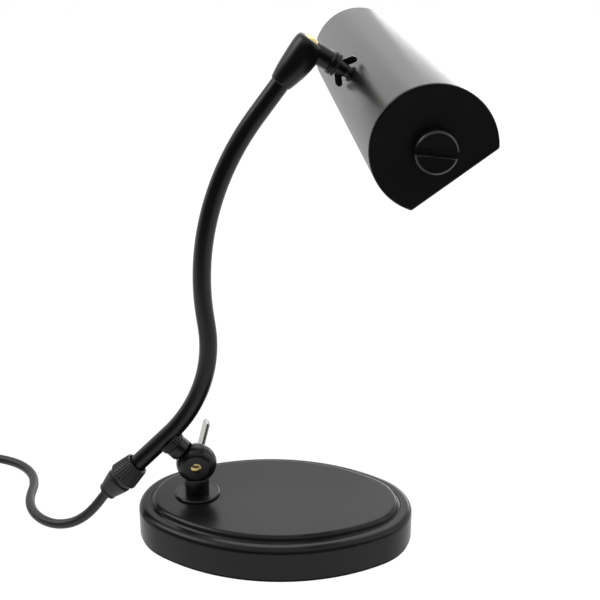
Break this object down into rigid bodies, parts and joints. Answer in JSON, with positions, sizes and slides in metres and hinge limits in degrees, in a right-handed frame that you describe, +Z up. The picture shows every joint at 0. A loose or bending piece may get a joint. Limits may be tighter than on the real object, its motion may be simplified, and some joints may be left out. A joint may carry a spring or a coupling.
{
  "type": "piano lamp",
  "caption": "Piano lamp with a weighted oval base, a tilting swan-neck arm, a long half-round shade that turns on the arm, a rotary switch and a mains cord.",
  "frame": {"origin": "centre of the underside of the base's felt pad", "axes": "+Z up; +X along the base's length, from the post towards the shade; +Y away from the front, so the shade's switch end faces -Y"},
  "size_m": [0.4816, 0.36, 0.3603],
  "materials": {
    "satin_black": "satin black paint",
    "black_metal": "blackened metal, semi-gloss",
    "shade_black": "satin black paint outside and in",
    "felt": "black felt",
    "cast_iron": "raw cast iron",
    "steel": "zinc-plated steel",
    "brass": "polished brass",
    "black_plastic": "matt black plastic",
    "phenolic": "black phenolic",
    "bulb_metal": "aluminium lamp cap",
    "bulb_glass": "clear to lightly frosted tubular bulb",
    "cord_black": "black PVC cord"
  },
  "bodies": {
    "stand": {"base_pad": "felt", "base_shell": "satin_black", "base_weight": "cast_iron", "base_nipple": "steel", "base_washer": "steel", "base_nut": "steel", "base_flange": "black_metal", "post_knuckle": "satin_black", "friction_washer": "steel", "hinge_bolt": "brass", "hinge_washer": "steel", "cord_floor": "cord_black", "cord_coil": "cord_black", "plug_body": "black_plastic", "plug_blades": "brass"},
    "hinge_wing": {"hinge_wing_nut": "black_metal"},
    "arm": {"arm_knuckle": "satin_black", "arm_stud": "steel", "arm_collar": "black_metal", "arm_tube": "satin_black", "tail_nut": "black_metal", "strain_relief": "black_plastic", "elbow": "satin_black", "elbow_plug": "brass", "shade_neck": "satin_black", "neck_washer_lower": "steel", "neck_washer_upper": "steel", "cord_lead": "cord_black"},
    "shade_wing": {"shade_wing_nut": "black_metal"},
    "shade": {"shade_stem": "steel", "shade_crown_nut": "black_metal", "shade_shell": "shade_black", "shade_inner_washer": "steel", "shade_inner_nut": "steel", "shade_plate_near": "shade_black", "shade_plate_far": "shade_black", "switch_housing": "black_plastic", "switch_nut": "steel", "holder_bracket": "steel", "lampholder": "phenolic", "bulb_cap": "bulb_metal", "bulb_glass": "bulb_glass"},
    "knob": {"switch_shaft": "brass", "switch_knob": "black_plastic"}
  },
  "joints": [
    {"name": "arm_tilt", "type": "hinge", "parent": "stand", "child": "arm", "pos_m": [-0.0569, 0, 0.0545], "axis": [-0.1392, 0.9903, 0], "range_deg": [-4, 45]},
    {"name": "hinge_wing_turn", "type": "hinge", "parent": "stand", "child": "hinge_wing", "pos_m": [-0.05831, 0.01, 0.0545], "axis": [-0.1392, 0.9903, 0], "continuous": true},
    {"name": "shade_turn", "type": "hinge", "parent": "arm", "child": "shade", "pos_m": [0.02192, 0.01108, 0.35113], "axis": [0.8461, 0.1189, -0.5195], "range_deg": [-60, 90]},
    {"name": "shade_wing_turn", "type": "hinge", "parent": "arm", "child": "shade_wing", "pos_m": [0.04122, 0.01379, 0.33928], "axis": [0.8461, 0.1189, -0.5195], "continuous": true},
    {"name": "switch_turn", "type": "hinge", "parent": "shade", "child": "knob", "pos_m": [0.09915, -0.11419, 0.31523], "axis": [-0.1392, 0.9903, 0], "continuous": true}
  ]
}
